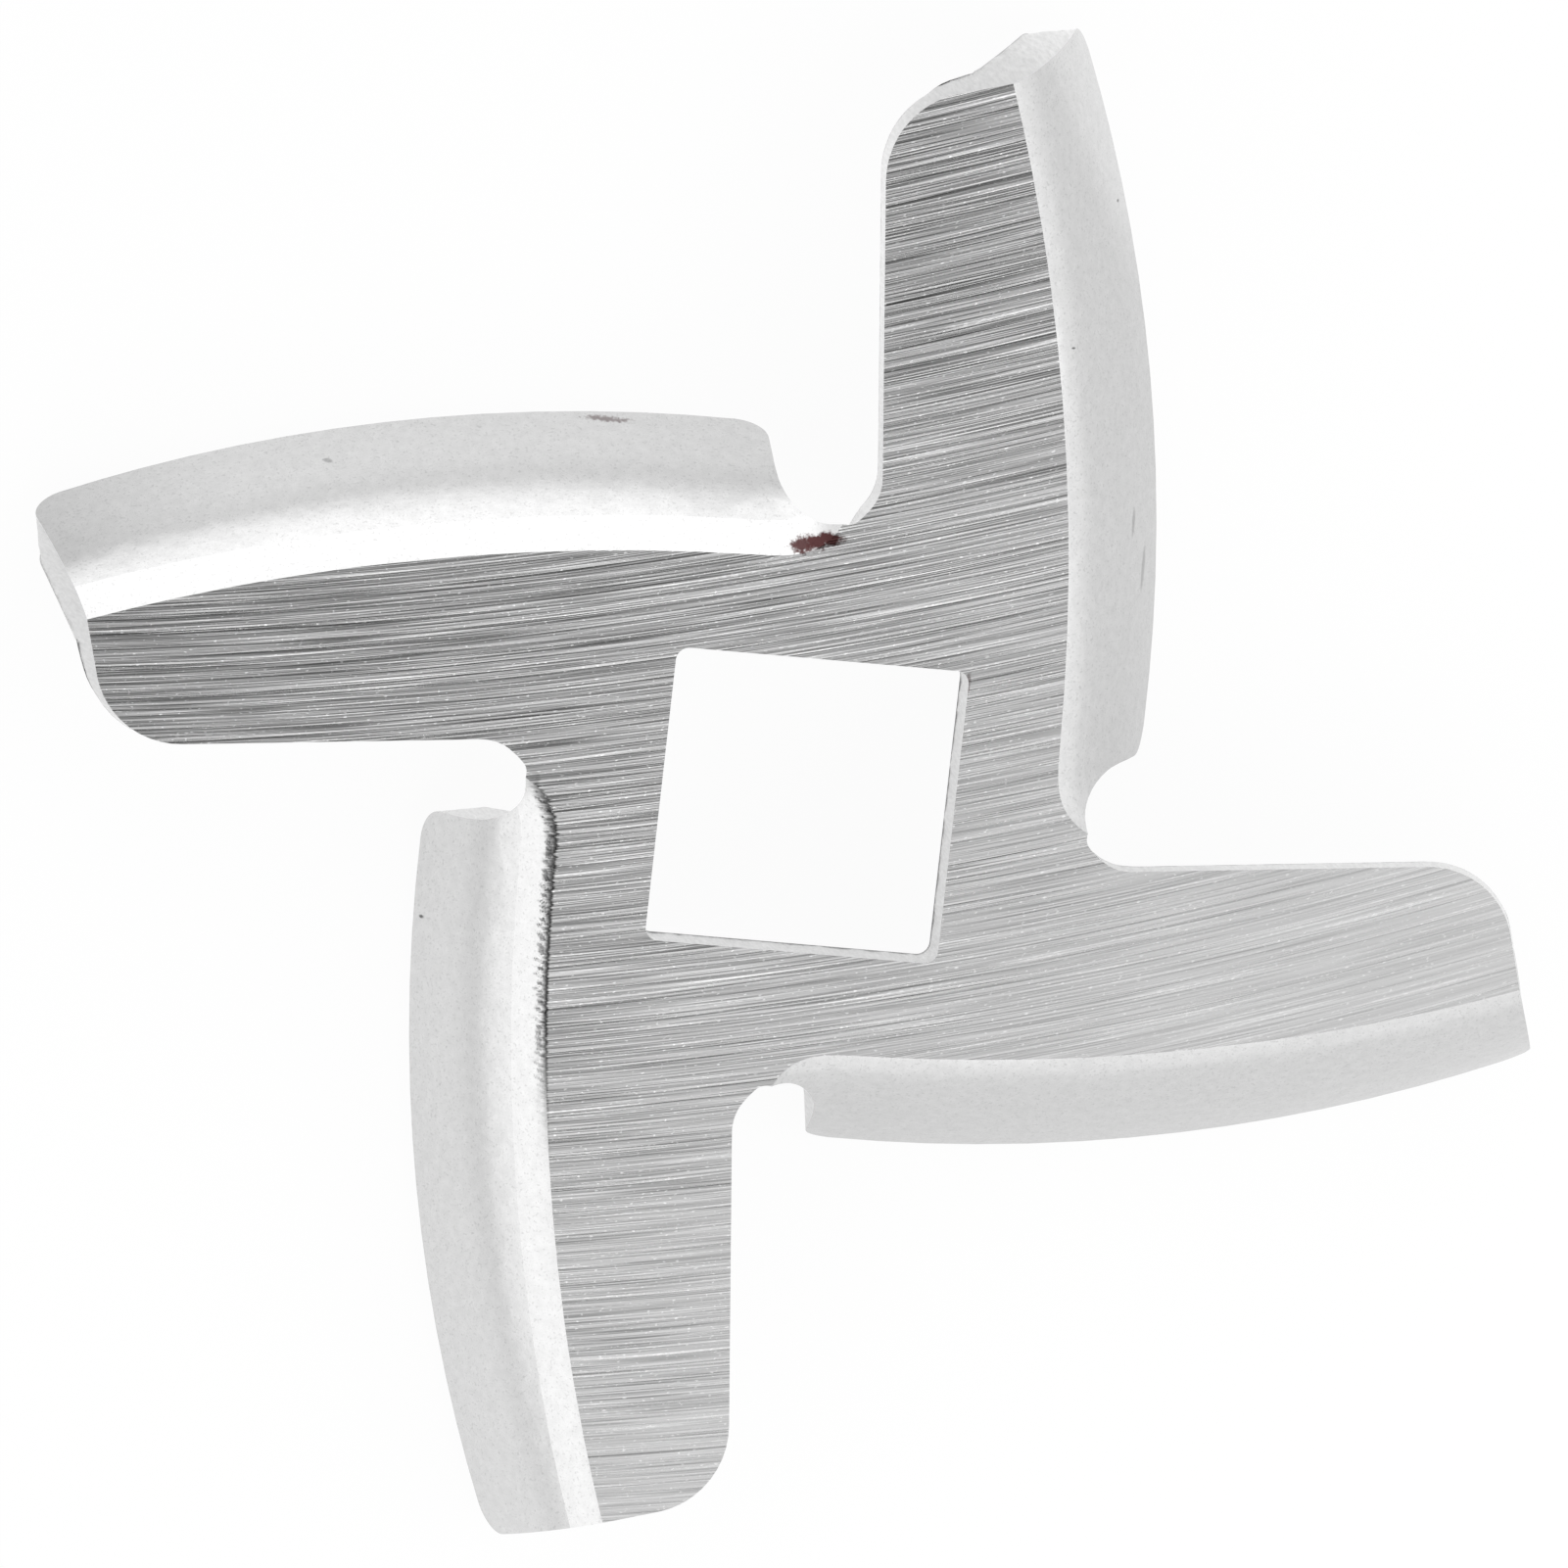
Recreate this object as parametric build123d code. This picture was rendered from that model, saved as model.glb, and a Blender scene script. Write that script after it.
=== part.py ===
from build123d import *
import os
from math import acos, cos, radians, sin, sqrt, tan

# Meat grinder knife: one piece of pressed steel sheet with four arms round a square hole.
# The flat upper face is ground and runs against the plate. One side of every arm is a
# straight cutting edge, and the other side is pressed down into a curved wing.
# Frame: +Z up, the hole's sides along X and Y, the origin on the hole's axis, in the
# plane on which the lips of the four wings stand. Millimetres and degrees.
# An arm is drawn pointing along +X, with its flat face at height 0 and its wing towards -Y.

# ---- driving dimensions ----
ARM_COUNT = 4
ARM_TURN = 5.9                  # the arms are turned this far from the hole's sides

HOLE_ACROSS_FLATS = 10.0        # square hole for the drive shaft
HOLE_CORNER_RADIUS = 0.45

SHEET_THICKNESS = 2.2
GROUND_OFF = 0.4                # depth ground off the sheet to make the flat face

CUTTING_EDGE_OFFSET = 2.45      # straight edge to the hole's axis
FLAT_OFFSET = 8.8               # widest reach of the flat face from the hole's axis
FLAT_CROWN_ALONG = 7.5          # where along the arm the flat face is widest
FLAT_RADIUS = 70.0              # curve of the line where the flat face meets the wing

LIP_OFFSET = 12.68              # widest reach of the wing's lip from the hole's axis
LIP_CROWN_ALONG = 8.0
LIP_RADIUS = 57.0
LIP_DROP = 5.3                  # lip below the flat face
LIP_THICKNESS = 1.6             # the sheet thins towards the lip as it is pressed

BEND_RADIUS = 3.5               # outer radius of the bend beside the flat face
BEND_ANGLE = 50.0               # turned by the bend, before the wing's gentler curve

SLOT_WIDTH = 3.2                # slot that frees the wing from the next arm
SLOT_END_OFFSET = 9.5           # rounded end of the slot to the hole's axis

RUN_OUT_START = 1.2             # from here towards the slot the bend runs out of the sheet
RUN_OUT_LENGTH = 2.1
RUN_OUT_RISE = 0.87             # outward shift of the bend over that length
RUN_OUT_SWEEP = 7.0             # how sharply it leaves past the slot's end

TIP_REACH = 24.4                # end of the flat face, at its corner with the wing
TIP_CORNER_OFFSET = 6.75        # that corner, from the arm's own centre line
TIP_SLANT = 10.2                # the end is cut this far from square
TIP_LEAN = 10.0                 # lean of the end at the flat face, less further down
TIP_SPREAD = 0.8                # how far the end stands out at the lip's level
TIP_CORNER_RADIUS = 2.9         # between the cutting edge and the end
LIP_TIP_RADIUS = 1.1            # lip's corner at the tip
LIP_ROOT_RADIUS = 1.1           # lip's corner at the slot

ROLLED_EDGE_RISE = 0.8          # blanking rolls the underside's edge over this far
ROLLED_EDGE_RADIUS = 1.1

WING_SPANS = 28                 # stretches of the wing between its drawn sections
SLOT_SPANS = 16                 # stretches of the cut round the slot's end

# ---- sizes that follow from them ----
web_thickness = SHEET_THICKNESS - GROUND_OFF
height = LIP_DROP + SHEET_THICKNESS
flat_centre = Vector(FLAT_CROWN_ALONG, FLAT_RADIUS - FLAT_OFFSET)
lip_centre = Vector(LIP_CROWN_ALONG, LIP_RADIUS - LIP_OFFSET)
bend_reach = BEND_RADIUS * sin(acos(1 - GROUND_OFF / BEND_RADIUS))
slot_radius = SLOT_WIDTH / 2
slot_root_side = SLOT_WIDTH - CUTTING_EDGE_OFFSET
slot_centre = Vector(slot_root_side - slot_radius, -(SLOT_END_OFFSET + slot_radius))
next_arm = 360 / ARM_COUNT
end_slant = tan(radians(TIP_SLANT))
arm_end = TIP_REACH + LIP_DROP
root_station = RUN_OUT_START - 1.4 * RUN_OUT_LENGTH
span = (arm_end - root_station) / WING_SPANS
stations = [root_station + span * step for step in range(WING_SPANS + 1)]


def run_out(along):
    """Outward shift of the whole section towards the slot, where the bend leaves the sheet."""
    share = max(RUN_OUT_START - along, 0) / RUN_OUT_LENGTH
    return RUN_OUT_RISE * share ** 2 + RUN_OUT_SWEEP * max(share - 1, 0) ** 2


def flat_edge(along):
    """The flat face's curved edge on the arm's wing side, at a place along the arm."""
    reach = sqrt(FLAT_RADIUS ** 2 - (along - flat_centre.X) ** 2)
    return flat_centre.Y - reach - run_out(along)


def lip_edge(along):
    """The wing's lip, at a place along the arm."""
    reach = sqrt(LIP_RADIUS ** 2 - (along - lip_centre.X) ** 2)
    return lip_centre.Y - reach - run_out(along)


def end_along(offset):
    """Where the arm's cut end lies in the flat face, at an offset across the arm."""
    return TIP_REACH - end_slant * (offset + TIP_CORNER_OFFSET)


def section_plane(along):
    """The plane across the arm, X outward from the flat face's edge and Y upward."""
    return Plane(origin=(along, flat_edge(along), 0), x_dir=(0, -1, 0), z_dir=(-1, 0, 0))


def sheet_lines(along):
    """The sheet's outer and inner lines across the wing: each a bend and a gentler curve."""
    lip = Vector(flat_edge(along) - lip_edge(along), -LIP_DROP)
    centre = (-bend_reach, GROUND_OFF - BEND_RADIUS)
    bend = CenterArc(centre, BEND_RADIUS, 90, -BEND_ANGLE)
    curve = TangentArc(bend @ 1, lip, tangent=bend % 1)
    inner_bend = CenterArc(centre, BEND_RADIUS - SHEET_THICKNESS, 90, -BEND_ANGLE)
    inner_lip = lip + (curve % 1).rotate(Axis.Z, -90) * LIP_THICKNESS
    inner_curve = TangentArc(inner_bend @ 1, inner_lip, tangent=inner_bend % 1)
    return bend, curve, inner_bend, inner_curve


def wing_section(along):
    """The sheet's whole section across the wing."""
    bend, curve, inner_bend, inner_curve = sheet_lines(along)
    lip_face = Line(curve @ 1, inner_curve @ 1)
    wall = Line(bend @ 0, inner_bend @ 0)
    outline = Wire([bend, curve, lip_face, inner_curve, inner_bend, wall])
    return section_plane(along) * make_face(outline)


def lip_middle(along):
    """The middle of the lip's face at a place along the arm."""
    bend, curve, inner_bend, inner_curve = sheet_lines(along)
    return section_plane(along).from_local_coords((curve @ 1 + inner_curve @ 1) / 2)


def wing():
    """The pressed wing: its section is drawn along the arm, past both of its ends."""
    return loft([wing_section(along) for along in stations])


def web():
    """The flat part of one arm, from the hub to past the tip, with its side in the bend."""
    wing_side = Spline([(along, flat_edge(along) + bend_reach / 2) for along in stations])
    hub_side = -(FLAT_OFFSET - bend_reach)
    rest = Polyline(
        wing_side @ 1, (arm_end, -CUTTING_EDGE_OFFSET), (hub_side, -CUTTING_EDGE_OFFSET),
        (hub_side, slot_centre.Y), (root_station, slot_centre.Y), wing_side @ 0,
    )
    return extrude(make_face(wing_side + rest), -web_thickness)


def slot_section(angle):
    """The slot's cut, square to the sheet, at an angle round the slot's end."""
    along = slot_centre.X + slot_radius * sin(angle)
    reach = flat_edge(along) - slot_centre.Y - slot_radius * cos(angle)
    bend, curve, inner_bend, inner_curve = sheet_lines(along)
    line = bend if reach < (bend @ 1).X else curve
    outward = max(reach - line.arc_center.X, 0)
    normal = Vector(outward, sqrt(line.radius ** 2 - outward ** 2)) / line.radius
    skin = Vector(reach, line.arc_center.Y + normal.Y * line.radius)
    above = skin + normal * SHEET_THICKNESS
    below = skin - normal * 1.5 * SHEET_THICKNESS
    outline = Polyline(
        above, below, (below.X, -2 * height), (arm_end, -2 * height), (arm_end, height),
        close=True,
    )
    return section_plane(along) * make_face(outline)


def slot():
    """The slot at the wing's root, whose far side is the next arm's cutting edge."""
    half_turn = [radians(180 * step / SLOT_SPANS - 90) for step in range(SLOT_SPANS + 1)]
    return loft([slot_section(angle) for angle in half_turn])


def tip_waste():
    """What is cut from the arm's end, which is slanted and spreads outward with depth."""
    corner = (TIP_REACH, -TIP_CORNER_OFFSET, 0)
    across = Plane(origin=corner, x_dir=(1, end_slant, 0), z_dir=(end_slant, -1, 0))
    downward = (tan(radians(TIP_LEAN)), -1)
    end = TangentArc((0, 0), (TIP_SPREAD, -LIP_DROP), tangent=downward)
    rest = Polyline(
        end @ 1, (end @ 1) + (end % 1) * LIP_DROP, (arm_end, -2 * LIP_DROP),
        (arm_end, height), (0, height), (0, 0),
    )
    return extrude(across * make_face([end, rest]), 2 * arm_end, both=True)


def rolled_edge():
    """What the rolled underside edge leaves out, from the tip's corner to the slot's end."""
    inset = TIP_CORNER_RADIUS * tan(radians(90 - TIP_SLANT) / 2)
    tip_centre = Vector(
        end_along(-CUTTING_EDGE_OFFSET) - inset, -CUTTING_EDGE_OFFSET - TIP_CORNER_RADIUS
    )
    slot_end = slot_centre.rotate(Axis.Z, next_arm)
    tip = CenterArc(tip_centre, TIP_CORNER_RADIUS, 45, 45)
    fade = Line(tip @ 0 - (tip % 0) * TIP_CORNER_RADIUS, tip @ 0)
    turn_radius = slot_radius + ROLLED_EDGE_RISE / 2
    turn_centre = slot_end + Vector(ROLLED_EDGE_RISE / 2, ROLLED_EDGE_RISE / 2)
    edge = Line(tip @ 1, turn_centre - Vector(0, turn_radius))
    turn = CenterArc(turn_centre, turn_radius, -90, -90)
    top = ROLLED_EDGE_RISE - web_thickness
    low = top - 2 * ROLLED_EDGE_RISE
    roll = RadiusArc((0, top), (ROLLED_EDGE_RISE, -web_thickness), -ROLLED_EDGE_RADIUS)
    rest = Polyline(
        roll @ 1, (ROLLED_EDGE_RISE, low), (-ROLLED_EDGE_RISE, low), (-ROLLED_EDGE_RISE, top),
        roll @ 0,
    )
    across = Plane(origin=fade @ 0, x_dir=tip_centre - tip @ 0, z_dir=fade % 0)
    return sweep(across * make_face([roll, rest]), path=Wire([fade, tip, edge, turn]))


def round_corner(solid, corner, radius):
    """Round the edge that passes nearest a place."""
    return fillet(solid.edges().sort_by_distance(corner)[0], radius)


def arm():
    """One finished arm with its share of the hub."""
    above = Pos(Z=GROUND_OFF) * Box(3 * arm_end, 3 * arm_end, 2 * GROUND_OFF)
    solid = web() + wing() - above - tip_waste() - slot()
    tip_corner = (end_along(-CUTTING_EDGE_OFFSET), -CUTTING_EDGE_OFFSET, -web_thickness / 2)
    lip_end = lip_middle(end_along(lip_edge(TIP_REACH)) + TIP_SPREAD)
    solid = round_corner(solid, tip_corner, TIP_CORNER_RADIUS)
    solid = round_corner(solid, lip_end, LIP_TIP_RADIUS)
    solid = round_corner(solid, lip_middle(slot_root_side), LIP_ROOT_RADIUS)
    return solid - rolled_edge() - Rot(Z=-next_arm) * rolled_edge()


def knife():
    """The whole knife, with the ground face at height 0."""
    first = arm()
    arms = [Rot(Z=ARM_TURN + next_arm * step) * first for step in range(ARM_COUNT)]
    hole = RectangleRounded(HOLE_ACROSS_FLATS, HOLE_ACROSS_FLATS, HOLE_CORNER_RADIUS)
    return Part() + arms - Pos(Z=-height) * extrude(hole, 2 * height)


body = knife()
standing = Pos(Z=-body.bounding_box().min.Z) * body
os.makedirs("parts", exist_ok=True)
export_step(standing, "parts/knife.step")
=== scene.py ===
from math import acos, cos, degrees, pi, radians, sin

import bmesh
import bpy
from mathutils import Euler, Matrix, Vector
from mathutils.bvhtree import BVHTree
from mathutils.geometry import intersect_point_line
from mathutils.interpolate import poly_3d_calc
from mathutils.noise import noise

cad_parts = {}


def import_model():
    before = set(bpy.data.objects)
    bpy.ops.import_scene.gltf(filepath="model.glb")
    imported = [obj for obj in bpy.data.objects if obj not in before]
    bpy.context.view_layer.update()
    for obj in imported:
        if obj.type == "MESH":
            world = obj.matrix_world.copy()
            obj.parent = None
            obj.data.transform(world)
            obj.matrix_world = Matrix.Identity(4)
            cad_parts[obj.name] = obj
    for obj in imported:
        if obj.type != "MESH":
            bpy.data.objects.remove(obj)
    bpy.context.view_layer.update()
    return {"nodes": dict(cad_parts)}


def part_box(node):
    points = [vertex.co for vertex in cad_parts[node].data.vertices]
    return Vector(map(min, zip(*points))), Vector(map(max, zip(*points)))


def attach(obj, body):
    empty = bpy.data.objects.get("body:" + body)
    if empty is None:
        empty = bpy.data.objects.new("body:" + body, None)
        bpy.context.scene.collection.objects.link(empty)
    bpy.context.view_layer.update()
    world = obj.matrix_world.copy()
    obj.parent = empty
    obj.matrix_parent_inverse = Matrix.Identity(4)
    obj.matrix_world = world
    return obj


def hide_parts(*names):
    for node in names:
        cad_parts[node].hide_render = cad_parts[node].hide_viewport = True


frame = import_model()

# Meat grinder knife, dressed. The frame, the camera's place and the studio are in metres.
# Finishes, marks and wear are written in millimetres, unless a line says otherwise, and
# angles in degrees. A pair of limits says where a change starts and where it ends.
MM = 0.001
FLUSH = 0.001 * MM           # nearer than this, a point counts as lying in a plane

# ---- camera: above the ground face, tipped towards the upper left ----
CAMERA_DISTANCE = 0.93
CAMERA_LENS = 636.5
CAMERA_SENSOR = 36.0
CAMERA_CLIP = (0.01, 20)
CAMERA_AIM = (-0.87 * MM, 0.67 * MM)
CAMERA_TURN = (-9.928, -8.852, 6.470)

# ---- studio, fitted to the photo: brightness by direction, and the white floor ----
SKY_SIDE = 1.15
SKY_TOP = 0.03
SKY_TOP_FROM = 0.62          # height of the direction where the top starts to darken
SKY_TOP_TO = 0.93
SOFTBOXES = [                # direction, cosine where it starts and is full, brightness added
    ((0.0, 0.93, 0.37), 0.75, 0.95, 0.60),
    ((-0.92, -0.30, 0.25), 0.72, 0.93, 0.35),
]
PANEL_SIZE = (0.30, 0.60)
PANEL_HEIGHT = 0.2
PANEL_EDGE = (0.0298, -0.0249)  # middle of the panel's inner edge
PANEL_TURN = -40.0
PANEL_LEVEL = 1.10
FLOOR_SIZE = 6.0
FLOOR_COLOUR = (0.9, 0.9, 0.9, 1)
FLOOR_SHADE = 0.06           # share of the floor's own shading that the camera sees
FLOOR_MIRRORED_SHADE = 0.25  # and that shows in reflections
FLOOR_MIRRORED = 1.15        # brightness of the rest of it in reflections
FLOOR_RIGHT_FROM = 0.004     # reach is counted up or left, and less from here to the right
FLOOR_RIGHT_LOSS = 2.0
FLOOR_DIP = (0.020, 0.034)   # reach over which it gets darker
FLOOR_DIP_LEVEL = 0.59
FLOOR_LOW = (0.010, 0.002)   # below this reach it is darker too
FLOOR_LOW_LESS = 0.18
FLOOR_FAR = (0.036, 0.09)    # and it is brighter again further off
FLOOR_FAR_EXTRA = 1.15

# ---- places of the finishes in the list of materials, and how faces are told apart ----
TUMBLED, GROUND, SHEARED = 0, 1, 2
GROUND_NORMAL = 0.9999       # a ground face's normal points up more than this
CUT_NORMAL = 0.3             # a cut wall's normal points up or down less than this

# ---- ground finish: lines across the whole face, slightly curved ----
LINE_SLOPE = 0.245
LINE_CURVE = 5.06            # per metre
LINE_SHEAR = 3.14            # per metre
LINE_DETAIL = 1.5
FINE_LINES = (5.0, 0.065, 0.0)      # length, width, place in the noise
MIDDLE_LINES = (11.0, 0.2, 3.7)
BROAD_LINES = (22.0, 0.9, 9.1)
KEEN_LINES = (6.0, 0.09, 21.3)
KEEN_LIMITS = (0.62, 0.74)
SPECKS = (0.2, 0.07, 33.0)
SPECK_LIMITS = (0.56, 0.66)
SPECK_SHARE = 0.5            # of a keen line's brightness, in its specks only
BEADS = (0.16, 0.08, 61.0)
BEAD_LIMITS = (0.7, 0.8)
DARK_LINES = (6.0, 0.1, 47.7)
DARK_LIMITS = (0.62, 0.76)
FINE_CONTRAST = 0.9
BROAD_CONTRAST = 0.25
KEEN_CONTRAST = 0.45
DARK_CONTRAST = -0.25
MIDDLE_HEIGHT = 1.6          # times the fine lines'
LINE_HEIGHT = 0.013
GROUND_GREY = 0.59
GROUND_ROUGHNESS = 0.3
ROUGHNESS_CONTRAST = 0.3
# the lines' contrast and height fall off towards the lower right
FADE_ALONG = (0.85, -0.5)    # direction in which the lines get fainter
FADE_LIMITS = (-0.010, 0.018)    # metres in that direction
LINE_FADED = 0.33             # what is left of the lines at the right arm's tip

# ---- tumbled finish of the wings and the back ----
TUMBLED_GREY = 0.64
TUMBLED_ROUGHNESS = 0.25
SKIN_SIZE = 0.35
SKIN_CONTRAST = 0.14
SKIN_HEIGHT = 0.004
SWELL_SIZE = 2.2
SWELL_HEIGHT = 2.5           # times the skin's
GRAIN_SIZE = 0.1
GRAIN_LIMITS = (0.33, 0.42)
GRAIN_DARK = 0.86

# ---- sheared finish of the cut walls ----
SHEARED_GREY = 0.84
SHEARED_ROUGHNESS = 0.45
SHEARED_SCALE = (9, 9, 1.5)  # grains per millimetre, drawn out through the sheet
SHEARED_CONTRAST = 0.3
SHEARED_HEIGHT = 0.02

# ---- the flat edge of the arm that points down in the photo ----
ARM_TURN = -84.1
FLAT_CROWN_ALONG = 7.5
FLAT_RADIUS = 70.0
FLAT_OFFSET = 8.8
RUN_OUT = (1.2, 2.1, 0.87)   # start, length and rise where the bend leaves the sheet

# ---- the torn line along that edge: a shallow groove, darkened with painted shade ----
TORN_WIDTH = 0.42
# painted shade: how much the torn line darkens the steel's colour
TORN_PAINTED_SHADE = 0.9
TORN_INNER = (-0.10, 0.0)    # where the dark starts, outward from the edge
TORN_STARTS = (-1.6, -0.2)   # along the arm
TORN_FADES = (13.0, 7.0)
TORN_NARROWS = (1.0, 4.5)
TORN_NARROW = 0.5            # share of the width that is left
TEETH_PER_MM = 7.0
TEETH_REACH = 0.7
TORN_STEP = 0.09             # longest edge of the mesh along it
TORN_MARGIN = 0.15           # the mesh is refined this far past the line
TORN_BELOW = 0.4             # and this far down from the ground face
TORN_MESH = (-1.0, 13.0)     # along the arm
TORN_DEPTH = 0.05
TORN_MIDDLE = 0.12           # deepest this far outward, and flat beyond the half width
TORN_HALF_WIDTH = 0.2
TORN_SHALLOWS = 6.0          # it gets shallower over this length before its end
TORN_WANDER = (0.25, 6.0)    # reach, and swings per millimetre

# ---- marks ----
STAINS = [                   # middle, reach, darkness
    ((-1.15, 8.82, 5.95), (0.55, 0.42, 0.5), 0.93),
    ((-0.75, 8.95, 5.95), (0.6, 0.36, 0.5), 0.95),
    ((-0.30, 9.08, 5.95), (0.7, 0.28, 0.5), 0.95),
    ((-7.6, 11.78, 1.27), (1.25, 0.12, 0.5), 0.6),
    ((4.98, 4.6, 5.9), (0.10, 0.5, 0.3), 0.5),
]
STAIN_RED = 0.93             # a stain takes this share of its darkness from red
SCRATCHES = [                # middle, reach, darkness
    ((-16.9, 9.7, 2.28), (0.22, 0.1, 0.3), 0.35),
    ((10.55, 10.1, 2.8), (0.09, 0.6, 0.4), 0.3),
    ((11.2, 8.4, 1.9), (0.1, 1.0, 0.6), 0.3),
]
PITS = [                     # middle, reach, darkness, then the dent's radius and depth
    ((-11.86, -5.66, 1.22), (0.1, 0.09, 0.3), 0.8, 0.10, 0.05),
    ((9.0, 20.75, 1.6), (0.07, 0.07, 0.3), 0.75, 0.08, 0.05),
    ((7.33, 16.19, 5.67), (0.11, 0.05, 0.3), 0.75, 0.09, 0.05),
]
SPOT_EDGE = 0.5              # a spot is full inside this share of its reach
SPOT_GRAIN = 6               # per millimetre
STAIN_RAGGED = 1.4
MARK_RAGGED = 0.6
RAGGED_DETAIL = (3.0, 0.7)   # detail and roughness of the noise in every ragged outline
PIT_MARGIN = 1.4             # the mesh is refined this many radii round a pit
PIT_STEPS = 3                # edges to a radius

# ---- rough cut faces ----
SHEARED_STEP = 0.17          # longest edge of the mesh on them
UNREFINED_STEP = 1.0         # in metres, so that all other edges stay
REFINE_ROUNDS = 9
HUB_REACH = 8                # nearer the axis than this, a cut wall is the hole's
TIP_REACH = 21               # and further out than this it is an arm's end
HOLE_ROUGH = 0.05
EDGE_ROUGH = 0.006
TIP_ROUGH = 0.07
TIP_ROUGH_FROM = 1.1         # below the ground face
TIP_ROUGH_OVER = 0.5         # full this much further down
ROUGH_DRAWN = 0.35           # the roughness is drawn out through the sheet
ROUGH_MIDDLE = 0.5
ROUGH_COARSE = (0.6, 2.2)    # share, and swings per millimetre
ROUGH_FINE = (0.35, 6.0)

# ---- shading of the bend ----
EASE_SLOPES = (43.0, 50.0, 59.0)    # the tight bend ends at the middle one
EASE_BY = 2.9
CORNER_INSET = 0.1           # share of the way to its face's centre where a normal is looked up

knife = frame["nodes"]["knife"]
ground_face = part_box("knife")[1][2]


def clamp(value):
    return min(max(value, 0), 1)


class Nodes:
    """Short names for building a node tree."""

    def __init__(self, tree):
        self.tree = tree

    def add(self, kind, inputs=(), out=0, **settings):
        node = self.tree.nodes.new(kind)
        for name, value in settings.items():
            setattr(node, name, value)
        for key, value in dict(inputs).items():
            if isinstance(value, bpy.types.NodeSocket):
                self.tree.links.new(value, node.inputs[key])
            else:
                node.inputs[key].default_value = value
        return node.outputs[out]

    def math(self, operation, *values, clamp=False):
        return self.add("ShaderNodeMath", enumerate(values), operation=operation, use_clamp=clamp)

    def ramp(self, value, start, end, low=0.0, high=1.0):
        inputs = {"Value": value, "From Min": start, "From Max": end, "To Min": low, "To Max": high}
        return self.add("ShaderNodeMapRange", inputs, interpolation_type="SMOOTHSTEP")

    def contrast(self, value, amount, middle):
        """A noise's swing about its middle, times an amount, added to another middle."""
        return self.math("MULTIPLY_ADD", self.math("SUBTRACT", value, 0.5), amount, middle)

    def dot(self, vector, direction):
        return self.add(
            "ShaderNodeVectorMath", {0: vector, 1: direction}, out="Value", operation="DOT_PRODUCT"
        )

    def length(self, vector):
        return self.add("ShaderNodeVectorMath", {0: vector}, out="Value", operation="LENGTH")

    def vector(self, x, y, z=0.0):
        return self.add("ShaderNodeCombineXYZ", {0: x, 1: y, 2: z})

    def place(self):
        return self.add("ShaderNodeTexCoord", out="Object")

    def sides(self, vector):
        """The vector's x and y."""
        split = self.add("ShaderNodeSeparateXYZ", {0: vector}).node
        return split.outputs[0], split.outputs[1]

    def mapped(self, vector, **changes):
        inputs = {"Vector": vector, **{name.title(): value for name, value in changes.items()}}
        return self.add("ShaderNodeMapping", inputs, out="Vector")

    def noise(self, vector, scale, detail=2.0, roughness=0.5):
        inputs = {"Vector": vector, "Scale": scale, "Detail": detail, "Roughness": roughness}
        return self.add("ShaderNodeTexNoise", inputs)

    def bump(self, height, depth):
        inputs = {"Strength": 1.0, "Distance": depth * MM, "Height": height}
        return self.add("ShaderNodeBump", inputs, out="Normal")

    def grey(self, value):
        return self.add("ShaderNodeCombineColor", {0: value, 1: value, 2: value})

    def link(self, value, socket):
        self.tree.links.new(value, socket)


def new_material(name):
    """A material with its shader and output, and nothing else yet."""
    material = bpy.data.materials.new(name)
    material.use_nodes = True
    tree = material.node_tree
    return material, Nodes(tree), tree.nodes["Principled BSDF"]


def camera():
    data = bpy.data.cameras.new("camera")
    data.lens = CAMERA_LENS
    data.sensor_width = CAMERA_SENSOR
    data.clip_start, data.clip_end = CAMERA_CLIP
    held = bpy.data.objects.new("camera", data)
    turn = Euler([radians(angle) for angle in CAMERA_TURN])
    aim = Vector((*CAMERA_AIM, ground_face))
    held.rotation_euler = turn
    held.location = aim + turn.to_matrix() @ Vector((0, 0, CAMERA_DISTANCE))
    bpy.context.scene.collection.objects.link(held)
    bpy.context.scene.camera = held


def floor_level(nodes):
    """How bright the floor is in reflections, from place to place."""
    x, y = nodes.sides(nodes.place())
    reach = nodes.math("MAXIMUM", y, nodes.math("MULTIPLY", x, -1.0))
    right = nodes.math("MAXIMUM", nodes.math("SUBTRACT", x, FLOOR_RIGHT_FROM), 0.0)
    reach = nodes.math("MULTIPLY_ADD", right, -FLOOR_RIGHT_LOSS, reach)
    level = nodes.ramp(reach, *FLOOR_DIP, FLOOR_MIRRORED, FLOOR_DIP_LEVEL)
    level = nodes.math("SUBTRACT", level, nodes.ramp(reach, *FLOOR_LOW, 0.0, FLOOR_LOW_LESS))
    return nodes.math("ADD", level, nodes.ramp(reach, *FLOOR_FAR, 0.0, FLOOR_FAR_EXTRA))


def floor():
    """White to the camera, with a little shading, and of several levels in reflections."""
    bpy.ops.mesh.primitive_plane_add(size=FLOOR_SIZE)
    plane = bpy.context.object
    plane.name = "floor"
    material, nodes, shader = new_material("floor")
    shader.inputs["Base Color"].default_value = FLOOR_COLOUR
    shader.inputs["Roughness"].default_value = 1.0
    shader.inputs["Specular IOR Level"].default_value = 0.0
    seen = nodes.add("ShaderNodeLightPath", out="Is Camera Ray")
    glossy = nodes.add("ShaderNodeLightPath", out="Is Glossy Ray")
    level = nodes.add("ShaderNodeMix", {0: seen, 2: floor_level(nodes), 3: 1.0})
    white = nodes.add("ShaderNodeEmission", {"Color": (1, 1, 1, 1), "Strength": level})
    share = nodes.math("MULTIPLY", seen, 1 - FLOOR_SHADE)
    share = nodes.math("MULTIPLY_ADD", glossy, 1 - FLOOR_MIRRORED_SHADE, share)
    mixed = nodes.add("ShaderNodeMixShader", {0: share, 1: shader.outputs[0], 2: white})
    nodes.link(mixed, nodes.tree.nodes["Material Output"].inputs["Surface"])
    plane.data.materials.append(material)


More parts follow.
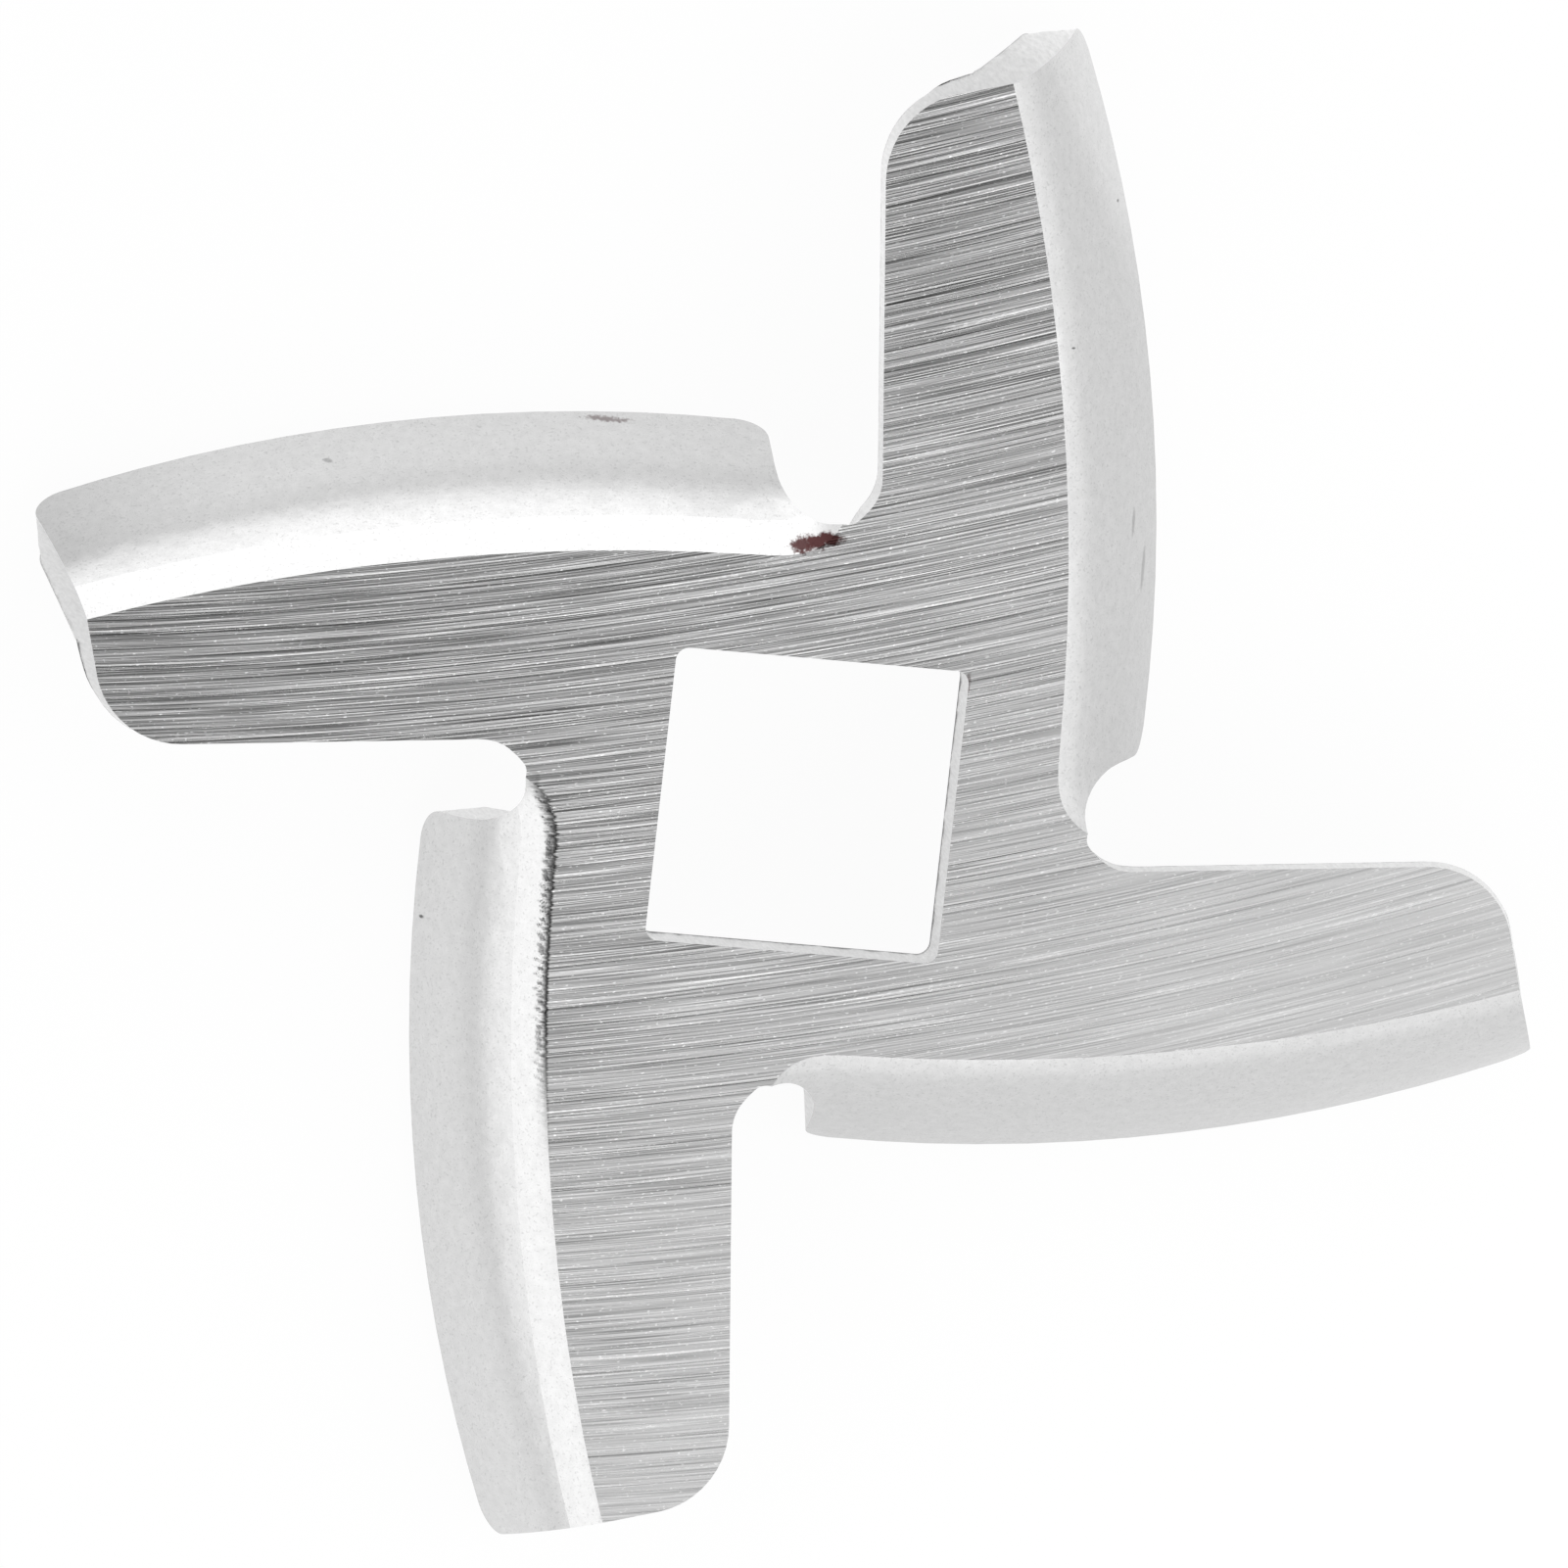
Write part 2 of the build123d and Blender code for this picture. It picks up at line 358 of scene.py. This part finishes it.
def world():
    """White to the camera; otherwise bright all round, more so in two places, dark overhead."""
    made = bpy.data.worlds.new("studio")
    made.use_nodes = True
    nodes = Nodes(made.node_tree)
    direction = nodes.add("ShaderNodeTexCoord", out="Generated")
    up = nodes.dot(direction, (0, 0, 1))
    level = nodes.ramp(up, SKY_TOP_FROM, SKY_TOP_TO, SKY_SIDE, SKY_TOP)
    for middle, start, full, extra in SOFTBOXES:
        facing = nodes.dot(direction, Vector(middle).normalized())
        level = nodes.math("ADD", level, nodes.ramp(facing, start, full, 0.0, extra))
    seen = nodes.add("ShaderNodeLightPath", out="Is Camera Ray")
    level = nodes.add("ShaderNodeMix", {0: seen, 2: level, 3: 1.0})
    background = made.node_tree.nodes["Background"]
    background.inputs["Color"].default_value = (1, 1, 1, 1)
    nodes.link(level, background.inputs["Strength"])
    bpy.context.scene.world = made


def panel():
    """A soft light overhead, whose inner edge is mirrored in the ground face."""
    wide, deep = PANEL_SIZE
    data = bpy.data.lights.new("panel", "AREA")
    data.shape = "RECTANGLE"
    data.size = wide
    data.size_y = deep
    data.energy = PANEL_LEVEL * pi * wide * deep
    held = bpy.data.objects.new("panel", data)
    turn = Matrix.Rotation(radians(PANEL_TURN), 3, "Z")
    held.rotation_euler = (0, 0, radians(PANEL_TURN))
    held.location = Vector((*PANEL_EDGE, PANEL_HEIGHT)) + turn @ Vector((wide / 2, 0, 0))
    held.visible_camera = False
    bpy.context.scene.collection.objects.link(held)


def torn_line_painted_shade(nodes, place):
    """A factor for the grey: one, but near zero along the torn line by the lower arm's wing, which
    is painted shade.
    """
    turned = nodes.mapped(place, rotation=(0, 0, radians(-ARM_TURN)), scale=(1 / MM,) * 3)
    along, across = nodes.sides(turned)
    arc = nodes.vector(
        nodes.math("SUBTRACT", along, FLAT_CROWN_ALONG),
        nodes.math("SUBTRACT", across, FLAT_RADIUS - FLAT_OFFSET),
    )
    start, stretch, rise = RUN_OUT
    share = nodes.math("DIVIDE", nodes.math("SUBTRACT", start, along), stretch, clamp=True)
    shift = nodes.math("MULTIPLY", nodes.math("MULTIPLY", share, share), rise)
    outward = nodes.math("SUBTRACT", nodes.math("SUBTRACT", nodes.length(arc), FLAT_RADIUS), shift)
    teeth = nodes.noise(nodes.vector(along, 0.0), TEETH_PER_MM, *RAGGED_DETAIL)
    width = nodes.ramp(along, *TORN_NARROWS, 1.0, TORN_NARROW)
    teeth = nodes.math("MULTIPLY", nodes.math("SUBTRACT", teeth, 0.5), width)
    ragged = nodes.math("MULTIPLY_ADD", teeth, TEETH_REACH, outward)
    inner = nodes.ramp(ragged, *TORN_INNER)
    outer = nodes.ramp(ragged, nodes.math("MULTIPLY", width, TORN_WIDTH), 0.0)
    ends = nodes.math("MULTIPLY", nodes.ramp(along, *TORN_FADES), nodes.ramp(along, *TORN_STARTS))
    band = nodes.math("MULTIPLY", nodes.math("MULTIPLY", inner, outer), ends)
    return nodes.math("MULTIPLY_ADD", band, -TORN_PAINTED_SHADE, 1.0)


def spot(nodes, place, middle, reach, ragged):
    """One inside an uneven spot of this reach along each axis, falling to nothing outside."""
    start = Vector([-along / r for along, r in zip(middle, reach)])
    scaled = nodes.mapped(place, location=start, scale=Vector([1 / (r * MM) for r in reach]))
    uneven = nodes.noise(place, SPOT_GRAIN / MM, *RAGGED_DETAIL)
    return nodes.ramp(nodes.contrast(uneven, ragged, nodes.length(scaled)), 1.0, SPOT_EDGE)


def marked(nodes, place, grey):
    """The steel's colour with the torn line's painted shade, the stains, the scratches and the dark
    pits.
    """
    # painted shade along the torn line
    grey = nodes.math("MULTIPLY", grey, torn_line_painted_shade(nodes, place))
    for middle, reach, dark in SCRATCHES + [pit[:3] for pit in PITS]:
        mask = spot(nodes, place, middle, reach, MARK_RAGGED)
        grey = nodes.math("MULTIPLY", grey, nodes.math("MULTIPLY_ADD", mask, -dark, 1.0))
    stain = 0.0
    for middle, reach, dark in STAINS:
        mask = nodes.math("MULTIPLY", spot(nodes, place, middle, reach, STAIN_RAGGED), dark)
        stain = nodes.math("MAXIMUM", mask, stain)
    red = nodes.math("MULTIPLY", grey, nodes.math("MULTIPLY_ADD", stain, -STAIN_RED, 1.0))
    rest = nodes.math("MULTIPLY", grey, nodes.math("SUBTRACT", 1.0, stain))
    return nodes.add("ShaderNodeCombineColor", {0: red, 1: rest, 2: rest})


def ground_steel():
    """The ground face: fine, slightly curved lines of several widths and lengths."""
    material, nodes, shader = new_material("steel_ground")
    place = nodes.place()
    x, y = nodes.sides(place)
    across = nodes.math("MULTIPLY", y, nodes.math("MULTIPLY_ADD", x, -LINE_SHEAR, 1.0))
    bend = nodes.math("MULTIPLY_ADD", x, -LINE_CURVE / 2, -LINE_SLOPE)
    across = nodes.math("MULTIPLY_ADD", x, bend, across)

    def lines(size, detail=0.0):
        """Noise drawn out along the lines."""
        length, width, depth = size
        along = nodes.math("MULTIPLY", x, 1 / (length * MM))
        over = nodes.math("MULTIPLY", across, 1 / (width * MM))
        return nodes.noise(nodes.vector(along, over, depth), 1.0, detail)

    fine = lines(FINE_LINES, LINE_DETAIL)
    middle = lines(MIDDLE_LINES, LINE_DETAIL)
    broad = lines(BROAD_LINES, LINE_DETAIL)
    specks = nodes.ramp(lines(SPECKS), *SPECK_LIMITS)
    specks = nodes.math("MULTIPLY_ADD", specks, SPECK_SHARE, 1 - SPECK_SHARE)
    keen = nodes.math("MULTIPLY", nodes.ramp(lines(KEEN_LINES), *KEEN_LIMITS), specks)
    keen = nodes.math("MAXIMUM", keen, nodes.ramp(lines(BEADS), *BEAD_LIMITS))
    dark = nodes.ramp(lines(DARK_LINES), *DARK_LIMITS)

    right, up = FADE_ALONG
    # how far a point lies in the direction in which the lines fade
    worn = nodes.math("MULTIPLY_ADD", y, up, nodes.math("MULTIPLY", x, right))
    strength = nodes.ramp(worn, *FADE_LIMITS, 1.0, LINE_FADED)
    grey = nodes.math("MULTIPLY", nodes.math("SUBTRACT", fine, 0.5), FINE_CONTRAST)
    grey = nodes.contrast(broad, BROAD_CONTRAST, grey)
    grey = nodes.math("MULTIPLY_ADD", keen, KEEN_CONTRAST, grey)
    grey = nodes.math("MULTIPLY_ADD", dark, DARK_CONTRAST, grey)
    grey = nodes.math("MULTIPLY_ADD", grey, strength, GROUND_GREY, clamp=True)
    height = nodes.math("MULTIPLY_ADD", middle, MIDDLE_HEIGHT, fine)
    height = nodes.math("MULTIPLY", height, strength)
    rough = nodes.contrast(middle, ROUGHNESS_CONTRAST, GROUND_ROUGHNESS)
    nodes.link(marked(nodes, place, grey), shader.inputs["Base Color"])
    nodes.link(rough, shader.inputs["Roughness"])
    nodes.link(nodes.bump(height, LINE_HEIGHT), shader.inputs["Normal"])
    shader.inputs["Metallic"].default_value = 1.0
    return material


def tumbled_steel():
    """The pressed wings and the back: satin, with a faint uneven skin."""
    material, nodes, shader = new_material("steel_tumbled")
    place = nodes.place()
    skin = nodes.noise(place, 1 / (SKIN_SIZE * MM), 3.0, 0.6)
    swell = nodes.noise(place, 1 / (SWELL_SIZE * MM), 2.0)
    height = nodes.math("MULTIPLY_ADD", swell, SWELL_HEIGHT, skin)
    grain = nodes.noise(place, 1 / (GRAIN_SIZE * MM), 2.0, 0.6)
    specks = nodes.ramp(grain, *GRAIN_LIMITS, GRAIN_DARK, 1.0)
    grey = nodes.math("MULTIPLY", nodes.contrast(skin, SKIN_CONTRAST, TUMBLED_GREY), specks)
    nodes.link(marked(nodes, place, grey), shader.inputs["Base Color"])
    nodes.link(nodes.bump(height, SKIN_HEIGHT), shader.inputs["Normal"])
    shader.inputs["Metallic"].default_value = 1.0
    shader.inputs["Roughness"].default_value = TUMBLED_ROUGHNESS
    return material


def sheared_steel():
    """The cut walls: rougher, drawn down through the sheet."""
    material, nodes, shader = new_material("steel_sheared")
    drawn = nodes.mapped(nodes.place(), scale=Vector(SHEARED_SCALE) / MM)
    grain = nodes.noise(drawn, 1.0, 3.0, 0.6)
    grey = nodes.contrast(grain, SHEARED_CONTRAST, SHEARED_GREY)
    nodes.link(nodes.grey(grey), shader.inputs["Base Color"])
    nodes.link(nodes.bump(grain, SHEARED_HEIGHT), shader.inputs["Normal"])
    shader.inputs["Metallic"].default_value = 1.0
    shader.inputs["Roughness"].default_value = SHEARED_ROUGHNESS
    return material


def torn_place(point):
    """Place along the lower arm, and distance outward from its flat edge, in millimetres."""
    turned = Matrix.Rotation(radians(-ARM_TURN), 3, "Z") @ point / MM
    start, stretch, rise = RUN_OUT
    share = clamp((start - turned.x) / stretch)
    arc = Vector((turned.x - FLAT_CROWN_ALONG, turned.y - FLAT_RADIUS + FLAT_OFFSET))
    return turned.x, arc.length - FLAT_RADIUS - rise * share ** 2


def by_torn_line(point):
    """Whether a point lies where the torn line is shaped."""
    along, outward = torn_place(point)
    first, last = TORN_MESH
    high = point.z > ground_face - TORN_BELOW * MM
    return high and first < along < last and -TORN_MARGIN < outward < TORN_WIDTH + TORN_MARGIN


def wanted_length(edge):
    """How long this edge may stay, which depends on what lies near it."""
    wanted = UNREFINED_STEP
    if any(face.material_index == SHEARED for face in edge.link_faces):
        wanted = SHEARED_STEP * MM
    start, end = (vertex.co for vertex in edge.verts)
    if any(by_torn_line(point) for point in ((start + end) / 2, start, end)):
        wanted = TORN_STEP * MM
    for middle, _, _, radius, _ in PITS:
        pit = Vector(middle) * MM
        _, share = intersect_point_line(pit, start, end)
        if (start.lerp(end, clamp(share)) - pit).length < PIT_MARGIN * radius * MM:
            wanted = min(wanted, radius * MM / PIT_STEPS)
    return wanted


def refine(mesh):
    """Split long edges where there is something to shape, keeping the mesh closed."""
    held = bmesh.new()
    held.from_mesh(mesh)
    bmesh.ops.triangulate(held, faces=held.faces[:])
    for _ in range(REFINE_ROUNDS):
        long = [edge for edge in held.edges if edge.calc_length() > wanted_length(edge)]
        if not long:
            break
        bmesh.ops.subdivide_edges(held, edges=long, cuts=1)
        bmesh.ops.triangulate(held, faces=[face for face in held.faces if len(face.verts) > 3])
    held.to_mesh(mesh)
    held.free()


def eased(normal):
    """A wing's normal, with the end of its tight bend eased into the gentler curve."""
    slope = degrees(acos(min(max(normal.z, -1), 1)))
    start, middle, end = EASE_SLOPES
    if not start < slope < end:
        return normal
    side = start if slope < middle else end
    slope = radians(slope - EASE_BY * (slope - side) / (middle - side))
    level = Vector((normal.x, normal.y, 0)).normalized() * sin(slope)
    return Vector((level.x, level.y, cos(slope)))


def smooth_normals(mesh, source):
    """The source's smooth normal at every corner of the refined mesh."""
    source.calc_loop_triangles()
    triangles = [tuple(triangle.vertices) for triangle in source.loop_triangles]
    loops = [tuple(triangle.loops) for triangle in source.loop_triangles]
    corners = [Vector(corner.vector) for corner in source.corner_normals]
    places = [vertex.co.copy() for vertex in source.vertices]
    tree = BVHTree.FromPolygons(places, triangles)
    normals = []
    for face in mesh.polygons:
        for index in face.vertices:
            if face.material_index == GROUND:
                normals.append(Vector((0, 0, 1)))
                continue
            inside = mesh.vertices[index].co.lerp(face.center, CORNER_INSET)
            hit, _, found, _ = tree.find_nearest(inside)
            weights = poly_3d_calc([places[k] for k in triangles[found]], hit)
            held = sum((corners[k] * w for k, w in zip(loops[found], weights)), Vector())
            held.normalize()
            normals.append(eased(held) if face.material_index == TUMBLED else held)
    return normals


def cut_depth(co):
    """How far the cut wall is worn in at a vertex, in millimetres."""
    reach = Vector(co.xy).length / MM
    amount = HOLE_ROUGH if reach < HUB_REACH else EDGE_ROUGH
    if reach > TIP_REACH:
        below = (ground_face - co.z) / MM - TIP_ROUGH_FROM
        amount = max(amount, TIP_ROUGH * clamp(below / TIP_ROUGH_OVER))
    drawn = Vector((co.x, co.y, co.z * ROUGH_DRAWN)) / MM
    rough = ROUGH_MIDDLE
    for share, swings in (ROUGH_COARSE, ROUGH_FINE):
        rough += share * noise(drawn * swings)
    return amount * clamp(rough)


def roughen_cuts(mesh):
    """Move the cut walls inward unevenly, but not where they meet the skin."""
    cut = {}
    skin = set()
    for face in mesh.polygons:
        beyond_hub = Vector(face.center.xy).length > HUB_REACH * MM
        if face.material_index == TUMBLED and beyond_hub:
            skin.update(face.vertices)
        if face.material_index == SHEARED:
            for index in face.vertices:
                cut[index] = cut.get(index, Vector()) + face.normal
    for index, outward in cut.items():
        if index in skin:
            continue
        co = mesh.vertices[index].co
        shift = outward.normalized() * cut_depth(co) * MM
        if co.z > ground_face - FLUSH or abs(co.z) < FLUSH:
            shift.z = 0
        mesh.vertices[index].co = co - shift


def torn_depth(co):
    """How deep the torn line is at a vertex, in millimetres."""
    along, outward = torn_place(co)
    wander, swings = TORN_WANDER
    ragged = outward + wander * noise(Vector((along * swings, 0, 0)))
    share = clamp(1 - abs(ragged - TORN_MIDDLE) / TORN_HALF_WIDTH)
    return TORN_DEPTH * share * clamp((TORN_MESH[1] - along) / TORN_SHALLOWS)


def sink_marks(mesh):
    """Sink the torn line and the pits into the skin."""
    for vertex in mesh.vertices:
        co = vertex.co
        if by_torn_line(co) and co.z < ground_face - FLUSH:
            vertex.co.z -= torn_depth(co) * MM
        for middle, _, _, radius, depth in PITS:
            away = (co - Vector(middle) * MM).length / (radius * MM)
            if away < 1:
                vertex.co -= vertex.normal * depth * MM * (1 - away ** 2) ** 2


def finish_faces(mesh):
    """Give each face of the knife's own mesh its finish."""
    mesh.materials.clear()
    for finish in (tumbled_steel(), ground_steel(), sheared_steel()):
        mesh.materials.append(finish)
    for face in mesh.polygons:
        if face.normal.z > GROUND_NORMAL and face.center.z > ground_face - FLUSH:
            face.material_index = GROUND
        elif abs(face.normal.z) < CUT_NORMAL and face.center.z > 0:
            face.material_index = SHEARED
        else:
            face.material_index = TUMBLED


def visual_knife():
    """The knife's own mesh, refined and worn, with the finish of every face."""
    held = knife.copy()
    held.data = knife.data.copy()
    held.name = "knife_steel"
    bpy.context.scene.collection.objects.link(held)
    mesh = held.data
    finish_faces(mesh)
    refine(mesh)
    normals = smooth_normals(mesh, knife.data)
    before = [face.normal.copy() for face in mesh.polygons]
    roughen_cuts(mesh)
    sink_marks(mesh)
    mesh.update()
    for face in mesh.polygons:
        change = face.normal - before[face.index]
        for loop in face.loop_indices:
            normals[loop] = (normals[loop] + change).normalized()
    mesh.normals_split_custom_set(normals)
    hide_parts("knife")
    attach(held, "root")


camera()
floor()
world()
panel()
visual_knife()

bpy.context.scene.view_settings.view_transform = "Standard"
